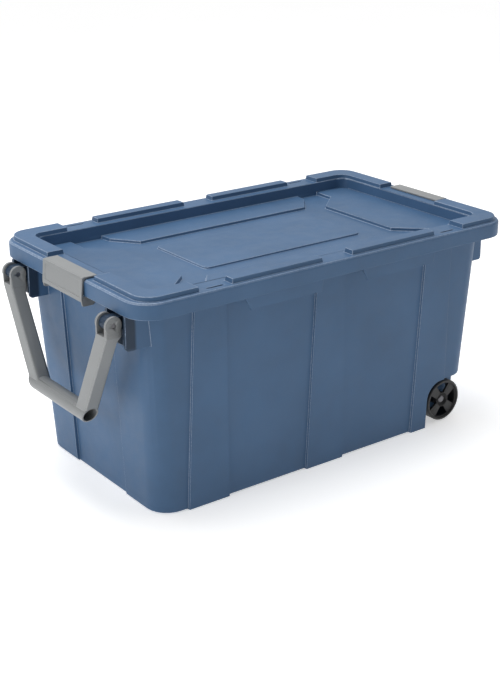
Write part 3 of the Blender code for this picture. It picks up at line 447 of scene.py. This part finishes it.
def wedge_row_tree():
    """Plates set out along a line, each with its outer lower corner cut away."""
    g, inputs = new_tree("wedge_row", [
        ("Count", "NodeSocketInt"), ("Start", "NodeSocketVector"),
        ("Step", "NodeSocketVector"), ("Size", "NodeSocketVector"),
        ("Cut", "NodeSocketVector"), ("Material", "NodeSocketMaterial")])
    plate = g.add("GeometryNodeMeshCube", {"Size": inputs.outputs["Size"]})
    at = g.add("ShaderNodeSeparateXYZ", {0: g.add("GeometryNodeInputPosition").outputs[0]})
    side = g.add("ShaderNodeSeparateXYZ", {0: inputs.outputs["Cut"]})
    outer = g.maths("MULTIPLY", at.outputs[0], side.outputs[0])
    outer = g.maths("ADD", outer, g.maths("MULTIPLY", at.outputs[1], side.outputs[1]))
    low, far = (
        g.add("FunctionNodeCompare", {0: value, 1: 0.0}, operation="LESS_THAN").outputs[0]
        for value in (at.outputs[2], outer))
    both = g.add("FunctionNodeBooleanMath", {0: low, 1: far}, operation="AND").outputs[0]
    shaped = g.add("GeometryNodeSetPosition", {
        "Geometry": plate.outputs[0], "Selection": both, "Offset": inputs.outputs["Cut"]})
    line = g.add("GeometryNodeMeshLine", {
        "Count": inputs.outputs["Count"], "Start Location": inputs.outputs["Start"],
        "Offset": inputs.outputs["Step"]}, mode="OFFSET")
    row = g.add("GeometryNodeInstanceOnPoints", {
        "Points": line.outputs[0], "Instance": shaped.outputs[0]})
    return close_tree(g, row.outputs[0], inputs.outputs["Material"])


def ring(g, inputs, shape, radius, rotation, first):
    """Copies of a shape set out evenly round an axis along Y; first is the place of the
    first copy, in parts of the step between two."""
    out = g.add("ShaderNodeCombineXYZ", {0: radius})
    moved = g.add("GeometryNodeTransform", {
        "Geometry": shape, "Translation": out.outputs[0], "Rotation": rotation})
    points = g.add("GeometryNodeMeshLine", {
        "Count": inputs.outputs["Count"], "Start Location": inputs.outputs["Centre"],
        "Offset": (0.0, 0.0, 0.0)}, mode="OFFSET")
    step = g.maths("DIVIDE", math.tau, inputs.outputs["Count"])
    number = g.add("GeometryNodeInputIndex").outputs[0]
    turned = g.add("ShaderNodeCombineXYZ", {
        1: g.maths("MULTIPLY", step, g.maths("ADD", first, number))})
    copies = g.add("GeometryNodeInstanceOnPoints", {
        "Points": points.outputs[0], "Instance": moved.outputs[0],
        "Rotation": turned.outputs[0]})
    return close_tree(g, copies.outputs[0], inputs.outputs["Material"])


def teeth_tree():
    """Tongues set out evenly round an axis along Y, leaning away from its face."""
    g, inputs = new_tree("teeth_ring", [
        ("Count", "NodeSocketInt"), ("Centre", "NodeSocketVector"),
        ("Radius", "NodeSocketFloat"), ("Size", "NodeSocketVector"),
        ("Lean", "NodeSocketFloat"), ("Material", "NodeSocketMaterial")])
    tongue = g.add("GeometryNodeMeshCube", {"Size": inputs.outputs["Size"]})
    leaning = g.add("ShaderNodeCombineXYZ", {2: inputs.outputs["Lean"]})
    return ring(
        g, inputs, tongue.outputs[0], inputs.outputs["Radius"], leaning.outputs[0], 0.0)


def spokes_tree():
    """Tapered webs set out evenly round an axis along Y, wide at the rim."""
    g, inputs = new_tree("spoke_ring", [
        ("Count", "NodeSocketInt"), ("Centre", "NodeSocketVector"),
        ("Size", "NodeSocketVector"), ("Middle", "NodeSocketFloat"),
        ("Flare", "NodeSocketFloat"), ("Material", "NodeSocketMaterial")])
    web = g.add("GeometryNodeMeshCube", {
        "Size": inputs.outputs["Size"], "Vertices X": 4, "Vertices Z": 3})
    at = g.add("ShaderNodeSeparateXYZ", {0: g.add("GeometryNodeInputPosition").outputs[0]})
    size = g.add("ShaderNodeSeparateXYZ", {0: inputs.outputs["Size"]})
    along = g.maths("DIVIDE", at.outputs[0], size.outputs[0])
    wider = g.maths("MULTIPLY", along, at.outputs[2])
    wider = g.maths("MULTIPLY", wider, inputs.outputs["Flare"])
    shift = g.add("ShaderNodeCombineXYZ", {2: wider})
    tapered = g.add("GeometryNodeSetPosition", {
        "Geometry": web.outputs[0], "Offset": shift.outputs[0]})
    return ring(
        g, inputs, tapered.outputs[0], inputs.outputs["Middle"], (0.0, 0.0, 0.0), 0.5)


def grown(name, tree, material, values):
    """A piece made by a geometry tree, as a plain mesh."""
    obj = link(name, bpy.data.meshes.new(name), material)
    modifier = obj.modifiers.new("rule", "NODES")
    modifier.node_group = tree
    wanted = dict(values, Material=material)
    for item in tree.interface.items_tree:
        if item.item_type == "SOCKET" and item.in_out == "INPUT" and item.name in wanted:
            modifier[item.identifier] = wanted[item.name]
    obj.update_tag()
    bpy.context.view_layer.update()
    return baked(obj)


def joined(name, pieces, material):
    """One object holding the meshes of several, which are removed."""
    bm = bmesh.new()
    for piece in pieces:
        bm.from_mesh(piece.data)
        mesh = piece.data
        bpy.data.objects.remove(piece)
        bpy.data.meshes.remove(mesh)
    bmesh.ops.recalc_face_normals(bm, faces=bm.faces)
    mesh = bpy.data.meshes.new(name)
    bm.to_mesh(mesh)
    bm.free()
    return link(name, mesh, material)


# ---------------------------------------------------------------- operators
class BOX_OT_bin(bpy.types.Operator):
    """Make the moulded bin with its rounded ribs, rim, flaps and wheel wells"""

    bl_idname = "deck_box.make_bin"
    bl_label = "Bin"

    def execute(self, context):
        sizes = context.scene.box_sizes
        obj = softened("bin_body", "bin_shell", sizes.shell_round, finish_for("blue_bin"))
        placed(obj, "bin", "blue_plastic", "bin_body")
        return {"FINISHED"}


class BOX_OT_lid(bpy.types.Operator):
    """Make the moulded lid with its ridges, bars and sunk top"""

    bl_idname = "deck_box.make_lid"
    bl_label = "Lid"

    def execute(self, context):
        sizes = context.scene.box_sizes
        obj = softened("lid", "lid_shell", sizes.shell_round, finish_for("blue_lid"))
        placed(obj, "lid", "blue_plastic", "lid")
        return {"FINISHED"}


class BOX_OT_latches(bpy.types.Operator):
    """Make the two snap latches"""

    bl_idname = "deck_box.make_latches"
    bl_label = "Latches"

    def execute(self, context):
        sizes = context.scene.box_sizes
        for end in ("handle_end", "wheel_end"):
            obj = softened(
                "latch_" + end, "latch_shell_" + end, sizes.latch_round,
                finish_for("grey_satin"))
            placed(obj, "latch_" + end, "grey_plastic", "latch_" + end)
        return {"FINISHED"}


class BOX_OT_handle(bpy.types.Operator):
    """Make the pull handle with its clevises and grip"""

    bl_idname = "deck_box.make_handle"
    bl_label = "Pull handle"

    def execute(self, context):
        sizes = context.scene.box_sizes
        obj = softened(
            "pull_handle", "handle_shell", sizes.handle_round, finish_for("grey_satin"),
            FINE_ANGLE, FINE_STEPS)
        placed(obj, "handle", "grey_plastic", "pull_handle")
        return {"FINISHED"}


class BOX_OT_wheels(bpy.types.Operator):
    """Make the two moulded wheels"""

    bl_idname = "deck_box.make_wheels"
    bl_label = "Wheels"

    def execute(self, context):
        sizes = context.scene.box_sizes
        for side in ("left", "right"):
            obj = softened(
                "wheel_" + side, "wheel_shell_" + side, sizes.wheel_round,
                finish_for("black_moulded"), FINE_ANGLE, FINE_STEPS)
            placed(obj, "wheel_" + side, "black_plastic", "wheel_" + side)
        return {"FINISHED"}


class BOX_OT_spokes(bpy.types.Operator):
    """Make the tapered webs that fill out the spokes of each wheel"""

    bl_idname = "deck_box.make_spokes"
    bl_label = "Spoke webs"

    def execute(self, context):
        black = finish_for("black_moulded")
        tree = spokes_tree()
        for side, word in ((-1, "right"), (1, "left")):
            low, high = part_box("wheel_" + word)
            face = low.y if side < 0 else high.y
            radius = (high.x - low.x) / 2
            inner, outer = SPOKE_FROM, radius - SPOKE_RIM
            name = "spoke_webs_" + word
            web = grown(name, tree, black, {
                "Count": SPOKES,
                "Centre": (
                    (low.x + high.x) / 2, face - side * SPOKE_FACE, (low.z + high.z) / 2),
                "Size": (outer - inner, SPOKE_THICK, SPOKE_WIDE),
                "Middle": (inner + outer) / 2,
                "Flare": SPOKE_FLARE})
            placed(joined(name, [web], black), "wheel_" + word, "black_plastic")
        return {"FINISHED"}


class BOX_OT_metal(bpy.types.Operator):
    """Make the pins, axles and push nuts"""

    bl_idname = "deck_box.make_metal"
    bl_label = "Pins, axles and nuts"

    def execute(self, context):
        sizes = context.scene.box_sizes
        metal = finish_for("zinc_steel")
        groups = frame["record"]["behaviour"]["bodies"]
        for stem in ("handle_pin", "wheel_axle", "axle_push_nut"):
            for side in ("left", "right"):
                node = stem + "_" + side
                body = next(b for b, members in groups.items() if node in members)
                obj = softened(node, stem + "_plated_" + side, sizes.metal_round, metal)
                placed(obj, body, "steel", node)
        return {"FINISHED"}


class BOX_OT_gussets(bpy.types.Operator):
    """Make the row of stiffening plates under the rim of each long side"""

    bl_idname = "deck_box.make_gussets"
    bl_label = "Rim gussets"

    def execute(self, context):
        sizes = context.scene.box_sizes
        low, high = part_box("bin_body")
        blue = finish_for("blue_bin")
        reach = high.x - GUSSET_END
        count = int(2 * reach / sizes.gusset_gap) + 1
        first = -(count - 1) * sizes.gusset_gap / 2
        outer = high.y - GUSSET_LIP
        inner = outer - GUSSET_DEPTH
        top = high.z - GUSSET_UNDER
        tree = wedge_row_tree()
        rows = []
        for side in (-1, 1):
            rows.append(grown("gussets", tree, blue, {
                "Count": count,
                "Start": (first, side * (outer + inner) / 2, top - GUSSET_TALL / 2),
                "Step": (sizes.gusset_gap, 0.0, 0.0),
                "Size": (sizes.gusset_thick, outer - inner, GUSSET_TALL),
                "Cut": (0.0, -side * GUSSET_DEPTH * GUSSET_CUT, 0.0)}))
        placed(joined("rim_gussets", rows, blue), "bin", "blue_plastic")
        return {"FINISHED"}


class BOX_OT_teeth(bpy.types.Operator):
    """Make the ring of spring teeth on each push nut"""

    bl_idname = "deck_box.make_teeth"
    bl_label = "Push nut teeth"

    def execute(self, context):
        sizes = context.scene.box_sizes
        metal = finish_for("zinc_steel")
        tree = teeth_tree()
        rings = []
        for side, word in ((-1, "right"), (1, "left")):
            low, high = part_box("axle_push_nut_" + word)
            face = high.y if side < 0 else low.y
            rings.append(grown("teeth", tree, metal, {
                "Count": sizes.nut_teeth,
                "Centre": (
                    (low.x + high.x) / 2, face - side * TOOTH[1] / 2, (low.z + high.z) / 2),
                "Radius": TOOTH_RADIUS,
                "Size": TOOTH,
                "Lean": TOOTH_LEAN}))
        placed(joined("push_nut_teeth", rings, metal), "bin", "steel")
        return {"FINISHED"}


class BOX_OT_stage(bpy.types.Operator):
    """Make the studio: pale floor, soft lights, white surround and the camera"""

    bl_idname = "deck_box.make_stage"
    bl_label = "Studio"

    def execute(self, context):
        scene = context.scene
        light = scene.box_light
        self.floor(tuple(scene.box_colours.floor), light.glow)
        self.area("key", KEY_PLACE, KEY_TARGET, KEY_SIZE, light.key)
        self.area("top", TOP_PLACE, TOP_TARGET, TOP_SIZE, light.top)
        world = bpy.data.worlds.new("surround")
        world.use_nodes = True
        g = Graph(world.node_tree)
        way = g.add("ShaderNodeTexCoord").outputs["Generated"]
        toward = g.add("ShaderNodeVectorMath", {
            0: way, 1: self.viewed_side()}, operation="DOT_PRODUCT").outputs["Value"]
        dark = g.spread(toward, 1.0, 1.0 - light.shaded, *DARK_SIDE)
        background = g.add("ShaderNodeBackground", {
            "Color": (1.0, 1.0, 1.0, 1.0),
            "Strength": g.maths("MULTIPLY", dark, light.surround)})
        g.add("ShaderNodeOutputWorld", {"Surface": background.outputs[0]})
        scene.world = world
        scene.view_settings.view_transform = "Standard"
        self.camera(scene)
        return {"FINISHED"}

    @staticmethod
    def viewed_side():
        """The fixed level direction of the side that the box is viewed from."""
        azimuth = math.radians(-CAMERA_AZIMUTH)
        return (-math.sin(azimuth), -math.cos(azimuth), 0.0)

    @staticmethod
    def floor(colour, glow):
        """A pale floor that glows a little."""
        bm = bmesh.new()
        bmesh.ops.create_grid(bm, x_segments=8, y_segments=8, size=FLOOR_HALF)
        bmesh.ops.translate(bm, verts=bm.verts, vec=(0.0, 0.0, -FLOOR_DROP))
        mesh = bpy.data.meshes.new("studio_floor")
        bm.to_mesh(mesh)
        bm.free()
        material = bpy.data.materials.new("pale_floor")
        material.use_nodes = True
        g = Graph(material.node_tree)
        place = g.add("ShaderNodeTexCoord").outputs["Object"]
        cloud = g.noise(place, 1.5, 2.0)
        body = g.mix(g.spread(cloud, 0.0, 1.0), shade(colour, 0.99), shade(colour, 1.01))
        shader = g.add("ShaderNodeBsdfPrincipled", {
            "Base Color": body, "Roughness": 0.75, "Specular IOR Level": 0.2,
            "Emission Color": (1.0, 1.0, 1.0, 1.0), "Emission Strength": glow})
        g.add("ShaderNodeOutputMaterial", {"Surface": shader.outputs[0]})
        link("studio_floor", mesh, material)

    @staticmethod
    def area(name, place, target, size, power):
        """A round soft light at place, aimed at target."""
        data = bpy.data.lights.new(name, "AREA")
        data.shape = "DISK"
        data.size = size
        data.energy = power
        lamp = bpy.data.objects.new(name, data)
        lamp.location = place
        aim = Vector(target) - Vector(place)
        lamp.rotation_euler = aim.to_track_quat("-Z", "Y").to_euler()
        bpy.context.scene.collection.objects.link(lamp)

    @staticmethod
    def camera(scene):
        """The camera, level but for its small roll."""
        azimuth = math.radians(-CAMERA_AZIMUTH)
        elevation = math.radians(CAMERA_ELEVATION)
        flat = math.cos(elevation)
        forward = Vector((
            flat * math.sin(azimuth), flat * math.cos(azimuth), -math.sin(elevation)))
        right = Vector((math.cos(azimuth), -math.sin(azimuth), 0.0))
        up = right.cross(forward)
        place = Vector(CAMERA_TARGET) - CAMERA_DISTANCE * forward
        place -= CAMERA_OFFSET[0] * right + CAMERA_OFFSET[1] * up
        axes = Matrix((right, up, -forward)).transposed()
        roll = Matrix.Rotation(math.radians(CAMERA_ROLL), 3, "Z")
        data = bpy.data.cameras.new("camera")
        data.lens = CAMERA_LENS
        data.sensor_width = CAMERA_SENSOR
        data.sensor_fit = "AUTO"
        data.dof.use_dof = False
        camera = bpy.data.objects.new("camera", data)
        camera.matrix_world = Matrix.Translation(place) @ (axes @ roll).to_4x4()
        scene.collection.objects.link(camera)
        scene.camera = camera


class BOX_PT_panel(bpy.types.Panel):
    """Lists the steps that make the box"""

    bl_idname = "BOX_PT_panel"
    bl_label = "Deck storage box"
    bl_space_type = "VIEW_3D"
    bl_region_type = "UI"
    bl_category = "Deck box"

    def draw(self, context):
        for step in STEPS:
            self.layout.operator(step.bl_idname)
        scene = context.scene
        for group in (scene.box_sizes, scene.box_colours, scene.box_light):
            for name in group.bl_rna.properties.keys():
                if name not in ("rna_type", "name"):
                    self.layout.prop(group, name)


STEPS = (
    BOX_OT_bin, BOX_OT_lid, BOX_OT_latches, BOX_OT_handle, BOX_OT_wheels, BOX_OT_spokes,
    BOX_OT_metal, BOX_OT_gussets, BOX_OT_teeth, BOX_OT_stage)
CLASSES = (BoxSizes, BoxColours, BoxLight) + STEPS + (BOX_PT_panel,)


def register():
    for cls in CLASSES:
        bpy.utils.register_class(cls)
    bpy.types.Scene.box_sizes = PointerProperty(type=BoxSizes)
    bpy.types.Scene.box_colours = PointerProperty(type=BoxColours)
    bpy.types.Scene.box_light = PointerProperty(type=BoxLight)


def unregister():
    del bpy.types.Scene.box_sizes
    del bpy.types.Scene.box_colours
    del bpy.types.Scene.box_light
    for cls in reversed(CLASSES):
        bpy.utils.unregister_class(cls)


def main():
    """Makes every piece and the studio."""
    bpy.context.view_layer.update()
    register()
    for step in STEPS:
        group, name = step.bl_idname.split(".")
        result = getattr(getattr(bpy.ops, group), name)()
        if result != {"FINISHED"}:
            raise RuntimeError(step.bl_label + " didn't finish")


if __name__ == "__main__":
    main()
